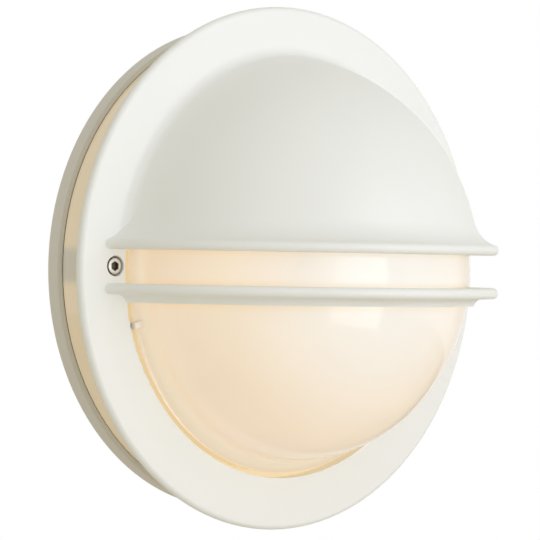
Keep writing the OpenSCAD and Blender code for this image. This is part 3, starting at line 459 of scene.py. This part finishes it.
def studio_world():
    """Light that is weaker and warmer from beside and behind, while what is seen is white."""
    world = bpy.data.worlds.new("studio")
    bpy.context.scene.world = world
    world.use_nodes = True
    world.node_tree.nodes.clear()
    t = Tree(world.node_tree)
    rays = t.add("ShaderNodeLightPath").outputs
    shown = rays["Is Camera Ray"]
    for ray in ("Is Glossy Ray", "Is Transmission Ray"):
        shown = t.math("MAXIMUM", shown, rays[ray])
    white = t.add("ShaderNodeBackground", {"Color": (1, 1, 1), "Strength": 1})
    y = t.split(t.add("ShaderNodeTexCoord").outputs["Generated"])[1]
    colour = t.ramp(t.spread(y, 1, -1), (0, WORLD_BEHIND), (BESIDE_AT, WORLD_BESIDE),
                    (1, WORLD_IN_FRONT))
    light = t.add("ShaderNodeBackground", {"Color": colour, "Strength": 1})
    both = t.add("ShaderNodeMixShader", {"Fac": shown, 1: light.outputs[0],
                                         2: white.outputs[0]})
    t.add("ShaderNodeOutputWorld", {"Surface": both.outputs[0]})


def pale_floor():
    mesh = bpy.data.meshes.new("floor")
    bm = bmesh.new()
    bmesh.ops.create_circle(bm, cap_ends=True, segments=96, radius=FLOOR_R)
    bm.to_mesh(mesh)
    bm.free()
    floor = bpy.data.objects.new("floor", mesh)
    bpy.context.collection.objects.link(floor)
    floor.location = FLOOR_MIDDLE
    f = Finish("floor_white")
    seen = f.add("ShaderNodeLightPath").outputs["Is Camera Ray"]
    f.set(Base_Color=f.blend(seen, FLOOR_COLOUR, FLOOR_SEEN_COLOUR), Roughness=0.9,
          Emission_Color=(1, 1, 1), Emission_Strength=f.math("MULTIPLY", seen, FLOOR_SEEN_GLOW))
    mesh.materials.append(f.material)


# Making pieces

EVEN_NORMALS = ("WEIGHTED_NORMAL", {"keep_sharp": True, "weight": 50})


def new_piece(name, mesh, slot_name, *stands_for, finishes=()):
    """A finished piece at the origin that rides on the body and stands for its nodes."""
    piece = bpy.data.objects.new(name, mesh)
    bpy.context.collection.objects.link(piece)
    if len(mesh.materials):
        mesh.materials.clear()
    for finish in finishes or (slot_name,):
        mesh.materials.append(FINISHES[finish])
    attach(piece, "root")
    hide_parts(*stands_for)


def worked(mesh, *steps):
    """The mesh after some modifiers, each given as its kind and its settings."""
    work = bpy.data.objects.new("work", mesh)
    bpy.context.collection.objects.link(work)
    for kind, settings in steps:
        modifier = work.modifiers.new(kind.lower(), kind)
        for key, value in settings.items():
            setattr(modifier, key, value)
    graph = bpy.context.evaluated_depsgraph_get()
    done = bpy.data.meshes.new_from_object(work.evaluated_get(graph))
    work.modifiers.clear()
    bpy.data.objects.remove(work)
    return done


def merged(name):
    """A copy of a solid with its loose triangles joined."""
    bm = bmesh.new()
    bm.from_mesh(nodes[name].data)
    bmesh.ops.remove_doubles(bm, verts=bm.verts, dist=MERGE_WITHIN)
    return bm


def mark_edges(bm, sharp):
    """Shades smooth but for the edges whose faces turn by sharp degrees or more."""
    limit = math.radians(sharp)
    for edge in bm.edges:
        edge.smooth = len(edge.link_faces) == 2 and edge.calc_face_angle(0) < limit
    for face in bm.faces:
        face.smooth = True


def as_mesh(bm, name):
    mesh = bpy.data.meshes.new(name)
    bm.to_mesh(mesh)
    bm.free()
    return mesh


def smoothed(name):
    """A casting or moulding: its solid, merged and shaded smooth between its true edges."""
    bm = merged(name)
    mark_edges(bm, CASTING_EDGE)
    mesh = worked(as_mesh(bm, name), EVEN_NORMALS)
    new_piece(name + "_smooth", mesh, slots[name], name)


def eased(name, width, finishes=()):
    """A small part: its solid with every true edge broken by a little bevel."""
    bm = merged(name)
    bmesh.ops.dissolve_limit(bm, angle_limit=math.radians(FLAT_WITHIN), verts=bm.verts,
                             edges=bm.edges)
    mark_edges(bm, PART_EDGE)
    bevel = ("BEVEL", {"width": width, "segments": 2, "limit_method": "ANGLE",
                       "angle_limit": math.radians(PART_EDGE), "use_clamp_overlap": True})
    mesh = worked(as_mesh(bm, name), bevel, EVEN_NORMALS)
    new_piece(name + "_eased", mesh, slots[name], name, finishes=finishes)


# Geometry Nodes for what repeats or follows a path


class Growth(Tree):
    """A Geometry Nodes tree being put together, with its sizes as named inputs."""

    def __init__(self, name, sizes, takes_shape=False):
        super().__init__(bpy.data.node_groups.new(name, "GeometryNodeTree"))
        face = self.tree.interface
        if takes_shape:
            face.new_socket("Shape", in_out="INPUT", socket_type="NodeSocketGeometry")
        for size, kind in sizes.items():
            face.new_socket(size, in_out="INPUT", socket_type="NodeSocket" + kind)
        face.new_socket("Finish", in_out="INPUT", socket_type="NodeSocketMaterial")
        face.new_socket("Shape", in_out="OUTPUT", socket_type="NodeSocketGeometry")
        self.given = self.tree.nodes.new("NodeGroupInput").outputs

    def close(self, shape):
        """Ends the tree with a plain mesh in its finish."""
        real = self.add("GeometryNodeRealizeInstances", {"Geometry": shape})
        coated = self.add("GeometryNodeSetMaterial", {"Geometry": real.outputs[0],
                                                      "Material": self.given["Finish"]})
        self.add("NodeGroupOutput", {"Shape": coated.outputs[0]})
        return self.tree


def grown(tree, sizes, finish, carrier=None):
    """The plain mesh that a tree makes from its sizes, on a carrier curve where it has one."""
    if carrier is None:
        carrier = bpy.data.objects.new("carrier", bpy.data.meshes.new("carrier"))
        bpy.context.collection.objects.link(carrier)
    growth = carrier.modifiers.new("growth", "NODES")
    growth.node_group = tree
    for socket in tree.interface.items_tree:
        if socket.in_out != "INPUT":
            continue
        if socket.name in sizes:
            growth[socket.identifier] = sizes[socket.name]
        elif socket.name == "Finish":
            growth[socket.identifier] = FINISHES[finish]
    graph = bpy.context.evaluated_depsgraph_get()
    mesh = bpy.data.meshes.new_from_object(carrier.evaluated_get(graph))
    carrier.modifiers.remove(growth)
    bpy.data.objects.remove(carrier)
    return mesh


def thread_tree():
    """A thread's ridge: a diamond bar wound up a screw, half of it sunk into the shank."""
    g = Growth("thread", {"Core": "Float", "Ridge": "Float", "Turns": "Float", "Length": "Float"})
    path = g.add("GeometryNodeCurveSpiral", {
        "Resolution": 28, "Rotations": g.given["Turns"], "Start Radius": g.given["Core"],
        "End Radius": g.given["Core"], "Height": g.given["Length"]})
    upright = g.add("GeometryNodeSetCurveNormal", {"Curve": path.outputs[0]}, mode="Z_UP")
    bar = g.add("GeometryNodeCurvePrimitiveCircle", {"Resolution": 4, "Radius": g.given["Ridge"]})
    wound = g.add("GeometryNodeCurveToMesh", {
        "Curve": upright.outputs[0], "Profile Curve": bar.outputs[0], "Fill Caps": True})
    return g.close(wound.outputs[0])


def knurl_tree():
    """Fine upright teeth around a screw's head."""
    g = Growth("knurl", {"Radius": "Float", "Tooth": "Float", "Height": "Float", "Count": "Int"})
    around = g.add("GeometryNodeMeshCircle", {
        "Vertices": g.given["Count"], "Radius": g.given["Radius"]})
    size = g.add("ShaderNodeCombineXYZ", {
        "X": g.given["Tooth"], "Y": g.given["Tooth"], "Z": g.given["Height"]})
    tooth = g.add("GeometryNodeMeshCube", {"Size": size.outputs[0]})
    diamond = g.add("GeometryNodeTransform", {
        "Geometry": tooth.outputs[0], "Rotation": (0, 0, math.radians(45))})
    spot = g.add("GeometryNodeInputPosition")
    turn = g.add("FunctionNodeAlignEulerToVector", {"Vector": spot.outputs[0]}, axis="X",
                 pivot_axis="Z")
    teeth = g.add("GeometryNodeInstanceOnPoints", {
        "Points": around.outputs[0], "Instance": diamond.outputs[0],
        "Rotation": turn.outputs[0]})
    return g.close(teeth.outputs[0])


def rolled_tree():
    """A round thread rolled into a thin tube, as on a lamp's cap and in its holder."""
    g = Growth("rolled", {"Radius": "Float", "Wave": "Float", "Pitch": "Float",
                          "Length": "Float", "Plain": "Float"})
    tube = g.add("GeometryNodeMeshCylinder", {
        "Vertices": 64, "Side Segments": 84, "Radius": g.given["Radius"],
        "Depth": g.given["Length"]}, fill_type="NONE")
    x, y, z = g.split(g.add("GeometryNodeInputPosition").outputs[0])
    turn = g.math("ARCTAN2", y, x)
    climb = g.math("MULTIPLY", g.math("DIVIDE", z, g.given["Pitch"]), math.tau)
    wave = g.math("COSINE", g.math("SUBTRACT", turn, climb))
    from_end = g.math("SUBTRACT", g.math("DIVIDE", g.given["Length"], 2.0),
                      g.math("ABSOLUTE", z))
    share = g.spread(from_end, 0.0, g.given["Plain"], smooth=True)
    lift = g.math("MULTIPLY", g.math("MULTIPLY", wave, g.given["Wave"]), share)
    flat = g.add("ShaderNodeCombineXYZ", {"X": x, "Y": y})
    outward = g.vector("NORMALIZE", {0: flat.outputs[0]})["Vector"]
    step = g.vector("SCALE", {0: outward, "Scale": lift})["Vector"]
    moved = g.add("GeometryNodeSetPosition", {
        "Geometry": tube.outputs["Mesh"], "Offset": step})
    return g.close(moved.outputs[0])


def strand_tree():
    """A round strand laid along a path, closed at both ends."""
    g = Growth("strand", {"Radius": "Float"}, takes_shape=True)
    outline = g.add("GeometryNodeCurvePrimitiveCircle", {
        "Resolution": 20, "Radius": g.given["Radius"]})
    laid = g.add("GeometryNodeCurveToMesh", {
        "Curve": g.given["Shape"], "Profile Curve": outline.outputs[0], "Fill Caps": True})
    return g.close(laid.outputs[0])


THREAD = thread_tree()
KNURL = knurl_tree()
ROLLED = rolled_tree()
STRAND = strand_tree()


# Rings and what is stacked from them


def hexagon(flats, angle):
    """How far a hexagon's side is from its middle at an angle."""
    return flats / 2 / math.cos((angle + math.pi / 6) % (math.pi / 3) - math.pi / 6)


def ring(bm, size, height, around, six_sided=False):
    """A ring of points: size is its radius, or the width across its flats with six sides."""
    points = []
    for k in range(around):
        angle = math.tau * k / around
        radius = hexagon(size, angle) if six_sided else size
        points.append(bm.verts.new((radius * math.cos(angle), radius * math.sin(angle), height)))
    return points


def band(bm, lower, upper):
    """Faces between two rings."""
    for k in range(len(lower)):
        m = (k + 1) % len(lower)
        bm.faces.new((lower[k], lower[m], upper[m], upper[k]))


def stacked(bm, outlines, around):
    """A closed body over rings, each given as (size, height, is_hexagon)."""
    rings = [ring(bm, size, height, around, six_sided) for size, height, six_sided in outlines]
    for lower, upper in zip(rings, rings[1:]):
        band(bm, lower, upper)
    bm.faces.new(rings[0][::-1])
    bm.faces.new(rings[-1])


def turned(profile, place):
    """A body turned from (radius, height) points about its own axis, closed at both ends."""
    bm = bmesh.new()
    stacked(bm, [(radius, height, False) for radius, height in profile], 96)
    bmesh.ops.recalc_face_normals(bm, faces=bm.faces)
    mark_edges(bm, CASTING_EDGE)
    bm.transform(place)
    return as_mesh(bm, "turned")


# Screws


def screw_place(name, toward):
    """A screw's own space, its head's front at the origin and +Z out of it, and its length."""
    low, high = (Vector(c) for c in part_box(name))
    middle = (low + high) / 2
    half = abs((high - low).dot(toward)) / 2
    turn = UP.rotation_difference(toward).to_matrix().to_4x4()
    return Matrix.Translation(middle + toward * half) @ turn, 2 * half


def add_thread(bm, shank_r, pitch, low, high, finish):
    """Joins a thread's ridge to a screw that stands in its own space."""
    depth = THREAD_DEPTH * pitch
    ridge = grown(THREAD, {"Core": shank_r - depth, "Ridge": depth, "Length": high - low,
                           "Turns": (high - low) / pitch}, finish)
    ridge.transform(Matrix.Translation((0, 0, low)))
    bm.from_mesh(ridge)


def machine_screw(name, toward, shank_r, head_h, pitch):
    """A small screw: its solid's head on a thinner shank that carries a thread."""
    place, length = screw_place(name, toward)
    bm = merged(name)
    bm.transform(place.inverted())
    core = shank_r - THREAD_DEPTH * pitch
    for vert in bm.verts:
        radius = vert.co.xy.length
        if vert.co.z < -head_h + SAME_WITHIN and abs(radius - shank_r) < SAME_WITHIN:
            vert.co.xy *= core / radius
    add_thread(bm, shank_r, pitch, -length + pitch, -head_h - pitch / 2, slots[name])
    mark_edges(bm, PART_EDGE)
    bm.transform(place)
    mesh = worked(as_mesh(bm, name), EVEN_NORMALS)
    new_piece(name + "_threaded", mesh, slots[name], name)


def painted_shade_index(face, flats, head_r, head_h):
    """1 in a hexagon socket and on the head's side, which carry painted shade, 0 elsewhere."""
    middle = face.calc_center_median()
    socket = middle.xy.length < flats * 0.6 and -0.8 * head_h < middle.z < -0.1 * MM
    side = middle.xy.length > 0.9 * head_r and -head_h < middle.z < -0.3 * MM
    return int(socket or side)


def cover_screw(name):
    """A socket cap screw: threaded shank, knurled head, clean hexagon socket."""
    place, length = screw_place(name, FACING)
    head_r, head_h, shank_r, pitch = 4.25 * MM, 5.0 * MM, 2.5 * MM, 0.8 * MM
    flats, deep, point = 4.0 * MM, 2.5 * MM, 0.35 * MM
    core = shank_r - THREAD_DEPTH * pitch
    knurled_r = head_r - 0.15 * MM
    shank = [(core - point, -length, False), (core, -length + point, False),
             (core, -head_h, False)]
    side = [(head_r - 0.3 * MM, -head_h, False), (knurled_r, -head_h + 0.15 * MM, False),
            (knurled_r, -1.4 * MM, False), (head_r, -1.2 * MM, False),
            (head_r, -0.55 * MM, False)]
    front = [(head_r - 0.12 * MM, -0.2 * MM, False), (head_r - 0.45 * MM, -0.03 * MM, False),
             (head_r - 0.7 * MM, 0, False), (flats / 2 + 0.75 * MM, 0, False)]
    socket = [(flats + 0.5 * MM, -0.02 * MM, True), (flats, -0.3 * MM, True),
              (flats, -deep, True), (flats * 0.5, -deep - 0.35 * MM, True)]
    bm = bmesh.new()
    stacked(bm, shank + side + front + socket, 48)
    for face in bm.faces:
        # Painted shade: the socket and the head's side take the dark steel
        face.material_index = painted_shade_index(face, flats, head_r, head_h)
    teeth = grown(KNURL, {"Radius": head_r - 0.21 * MM, "Tooth": 0.28 * MM,
                          "Height": head_h - 1.8 * MM, "Count": 44}, slots[name])
    teeth.transform(Matrix.Translation((0, 0, -head_h / 2 - 0.6 * MM)))
    bm.from_mesh(teeth)
    add_thread(bm, shank_r, pitch, -length + pitch, -head_h - pitch, slots[name])
    bmesh.ops.recalc_face_normals(bm, faces=bm.faces)
    mark_edges(bm, PART_EDGE)
    bm.transform(place)
    mesh = worked(as_mesh(bm, name), EVEN_NORMALS)
    new_piece(name + "_knurled", mesh, slots[name], name, finishes=("steel", "dark_socket"))


# Lamp and holder


def lamp_place(name):
    """The lamp's own space, a node's foot at the origin and +Z along it, its length and radius."""
    low, high = (Vector(c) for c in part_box(name))
    turn = Matrix.Rotation(math.radians(90), 4, "Y")
    place = Matrix.Translation((low.x, (low.y + high.y) / 2, 0)) @ turn
    return place, high.x - low.x, (high.z - low.z) / 2


def glass_lamp():
    """The lamp: frosted glass, rolled cap, black insulator and its tip."""
    place, length, bulb_r = lamp_place("lamp")
    cap_len, cap_r, glass_r, insulator_len = 24 * MM, 13.6 * MM, 13.0 * MM, 3.2 * MM
    bulb_c = length - bulb_r
    rise = bulb_c - cap_len
    neck_r = (rise ** 2 + glass_r ** 2 - bulb_r ** 2) / (2 * (bulb_r - glass_r))
    neck_x = glass_r + neck_r
    meet = math.atan2(rise, neck_x)
    profile = [(glass_r - MM, cap_len - 3 * MM), (glass_r, cap_len - 2 * MM)]
    for i in range(13):
        angle = meet * i / 12
        profile.append((neck_x - neck_r * math.cos(angle), cap_len + neck_r * math.sin(angle)))
    start = -math.asin((rise - neck_r * math.sin(meet)) / bulb_r)
    end = math.pi / 2 - 0.02
    for i in range(1, 41):
        angle = start + (end - start) * i / 40
        profile.append((bulb_r * math.cos(angle), bulb_c + bulb_r * math.sin(angle)))
    new_piece("lamp_bulb", turned(profile, place), "lamp_glass", "lamp")

    rolled = grown(ROLLED, {"Radius": cap_r - 0.55 * MM, "Wave": 0.5 * MM, "Pitch": CAP_PITCH,
                            "Length": cap_len - insulator_len, "Plain": CAP_PLAIN_END},
                   "zinc_plate")
    rolled.transform(place @ Matrix.Translation((0, 0, (cap_len + insulator_len) / 2)))
    for face in rolled.polygons:
        face.use_smooth = True
    new_piece("lamp_cap", rolled, "zinc_plate", "lamp")

    insulator = [(4.2 * MM, 0.8 * MM), (4.6 * MM, 1.0 * MM), (8.5 * MM, 2.0 * MM),
                 (12.2 * MM, 3.4 * MM), (12.9 * MM, 4.2 * MM), (12.9 * MM, 5.5 * MM)]
    new_piece("lamp_insulator", turned(insulator, place), "rubber", "lamp")
    tip = [(1.4 * MM, 0), (2.6 * MM, 0.15 * MM), (3.8 * MM, 0.6 * MM), (4.4 * MM, 1.2 * MM),
           (4.4 * MM, 1.6 * MM)]
    new_piece("lamp_tip", turned(tip, place), "brass", "lamp")


def threaded_sleeve():
    """The holder's brass sleeve, rolled to the cap's pitch, with its inturned foot."""
    name = "lampholder_sleeve"
    place, length, outer = lamp_place(name)
    wall, wave = 0.4 * MM, 0.3 * MM
    tube = grown(ROLLED, {"Radius": outer - wave - 0.02 * MM, "Wave": wave, "Pitch": CAP_PITCH,
                          "Length": length - 0.2 * MM, "Plain": CAP_PLAIN_END}, "brass")
    tube.transform(Matrix.Translation((0, 0, length / 2)))
    bm = bmesh.new()
    bm.from_mesh(worked(tube, ("SOLIDIFY", {"thickness": wall * 0.8, "offset": -1})))
    foot_in, foot_out = outer - 3 * MM, outer - 0.5 * MM
    corners = ((foot_in, 0), (foot_out, 0), (foot_out, wall), (foot_in, wall))
    rings = [ring(bm, radius, height, 64) for radius, height in corners]
    for lower, upper in zip(rings, rings[1:] + rings[:1]):
        band(bm, lower, upper)
    bmesh.ops.recalc_face_normals(bm, faces=bm.faces)
    mark_edges(bm, PART_EDGE)
    bm.transform(place)
    new_piece(name + "_rolled", as_mesh(bm, name), "brass", name)


# Inner wires, on the routes that the solids follow, as points of X, Z and how far out

BLOCK_X, BLOCK_FRONT, POLE_PITCH = 20 * MM, -36 * MM, 11 * MM
INSERT_OUT, WIRE_LIE, WIRE_R = 11 * MM, 12 * MM, 1.2 * MM
GRIP, LEAD, TURN, RISE, BITE = 6 * MM, 7 * MM, 8 * MM, 3 * MM, 4 * MM
HOLE_X, HOLE_Z, HOLDER_SIDE = -61 * MM, 6 * MM, 35.875 * MM
TRAY_OUT, SHEET_FRONT = 20.5 * MM, 23.0 * MM
EARTH_X, BARREL_Z, BARREL_LEN, BARREL_OUT = 44 * MM, 17 * MM, 6 * MM, 8.3 * MM
BARE_FROM, CORE_R = BLOCK_FRONT - 1.5 * MM, WIRE_R * 0.62


def leaving(x):
    """Out of a terminal, straight up from the block."""
    return [(x, BLOCK_FRONT - GRIP, INSERT_OUT), (x, BLOCK_FRONT + MM, INSERT_OUT),
            (x, BLOCK_FRONT + LEAD, INSERT_OUT)]


def to_holder(x, z):
    """From a terminal, behind the tray, through its hole and into the lampholder's side."""
    start, end = (x, BLOCK_FRONT + LEAD), (HOLE_X + TURN, z)
    bowed = [(start[0] + (end[0] - start[0]) * t,
              start[1] + (end[1] - start[1]) * (1 - (1 - t) ** 2), WIRE_LIE)
             for t in (0.2, 0.4, 0.6, 0.8)]
    return leaving(x) + bowed + [
        (HOLE_X + TURN, z, WIRE_LIE), (HOLE_X + TURN / 5, z, WIRE_LIE + RISE),
        (HOLE_X, z, TRAY_OUT), (HOLE_X, z, SHEET_FRONT + RISE),
        (HOLE_X, z, HOLDER_SIDE - 2 * MM), (HOLE_X, z, HOLDER_SIDE + BITE)]


def to_earth(x):
    """From a terminal in an easy bend to the earth lug's barrel."""
    start = (x, BLOCK_FRONT + LEAD, INSERT_OUT)
    end = (EARTH_X, BARREL_Z - BARREL_LEN - RISE, BARREL_OUT)
    bend = [(start[0] + (end[0] - start[0]) * t * t * (3 - 2 * t),
             start[1] + (end[1] - start[1]) * t, start[2] + (end[2] - start[2]) * t)
            for t in (0.25, 0.5, 0.75)]
    return leaving(x) + bend + [
        end, (EARTH_X, BARREL_Z - BARREL_LEN, BARREL_OUT), (EARTH_X, BARREL_Z - MM, BARREL_OUT)]


def along(route):
    """Points of a smooth curve through a route."""
    steps = 8
    points = [Vector((x, -out, z)) for x, z, out in route]
    ends = [points[0]] + points + [points[-1]]
    curve = []
    for a, b, c, d in zip(ends, ends[1:], ends[2:], ends[3:]):
        for j in range(steps):
            t = j / steps
            curve.append(0.5 * (2 * b + (c - a) * t + (2 * a - 5 * b + 4 * c - d) * t * t
                                + (3 * b - a - 3 * c + d) * t ** 3))
    return curve + [points[-1]]


def strand(name, points, radius, finish, stands_for):
    curve = bpy.data.curves.new(name, "CURVE")
    curve.dimensions = "3D"
    line = curve.splines.new("POLY")
    line.points.add(len(points) - 1)
    for target, point in zip(line.points, points):
        target.co = (*point, 1)
    carrier = bpy.data.objects.new(name, curve)
    bpy.context.collection.objects.link(carrier)
    mesh = grown(STRAND, {"Radius": radius}, finish, carrier)
    bm = bmesh.new()
    bm.from_mesh(mesh)
    mark_edges(bm, WIRE_EDGE)
    new_piece(name, as_mesh(bm, name), finish, stands_for)


def inner_wire(name, route):
    """A wire whose insulation ends inside the block, with its bare core beyond."""
    points = along(route)
    bare = [p for p in points if p.z < BARE_FROM]
    strand(name + "_insulation", points[len(bare):], WIRE_R, slots[name], name)
    strand(name + "_core", points[:len(bare) + 3], CORE_R, "brass", name)


# The scene

bpy.context.scene.view_settings.view_transform = "Standard"
place_camera()
studio_world()
pale_floor()
for name, lamp in LAMPS.items():
    box = soft_lamp(name, distance=LAMP_DISTANCE, **lamp)
    box.visible_glossy = False
    box.data.use_shadow = False
for name, glow in GLOWS.items():
    mirrored_glow(name, **glow)

for name, node in nodes.items():
    node.data.materials.clear()
    node.data.materials.append(FINISHES[slots[name]])

for name in ("front_cover", "diffuser", "base_housing", "gear_tray", "blanking_plug",
             "cable_grommet"):
    smoothed(name)

# How wide each small part's edges are broken, in millimetres
SMALL_EDGE = {
    "base_seal": 0.2, "pillar_seal_left": 0.25, "pillar_seal_right": 0.25,
    "diffuser_clip_upper_left": 0.15, "diffuser_clip_lower_left": 0.15,
    "diffuser_clip_upper_right": 0.15, "diffuser_clip_lower_right": 0.15,
    "holder_bracket": 0.15, "lampholder_body": 0.4, "lampholder_contact": 0.1,
    "terminal_block": 0.25, "terminal_insert_live": 0.12, "terminal_insert_neutral": 0.12,
    "terminal_insert_earth": 0.12, "terminal_screws_live": 0.08,
    "terminal_screws_neutral": 0.08, "terminal_screws_earth": 0.08, "earth_washer": 0.12,
    "earth_lug": 0.1,
}
for name, width in SMALL_EDGE.items():
    eased(name, width * MM, finishes=("spring_steel",) if "clip" in name else ())

for side in ("left", "right"):
    cover_screw("cover_screw_" + side)

SMALL_SCREW = {"shank_r": 1.75 * MM, "head_h": 2.2 * MM, "pitch": 0.6 * MM}
FIXING_SCREW = {"shank_r": 1.5 * MM, "head_h": 1.8 * MM, "pitch": 0.9 * MM}
for name in ("tray_screw_top", "tray_screw_left", "tray_screw_right", "bracket_screw_upper",
             "bracket_screw_lower", "earth_screw"):
    machine_screw(name, FACING, **SMALL_SCREW)
for name in ("holder_screw_upper", "holder_screw_lower"):
    machine_screw(name, LEFTWARD, **SMALL_SCREW)
machine_screw("terminal_fixing_screw", FACING, **FIXING_SCREW)

glass_lamp()
threaded_sleeve()
inner_wire("live_wire", to_holder(BLOCK_X - POLE_PITCH, -HOLE_Z))
inner_wire("neutral_wire", to_holder(BLOCK_X, HOLE_Z))
inner_wire("earth_wire", to_earth(BLOCK_X + POLE_PITCH))
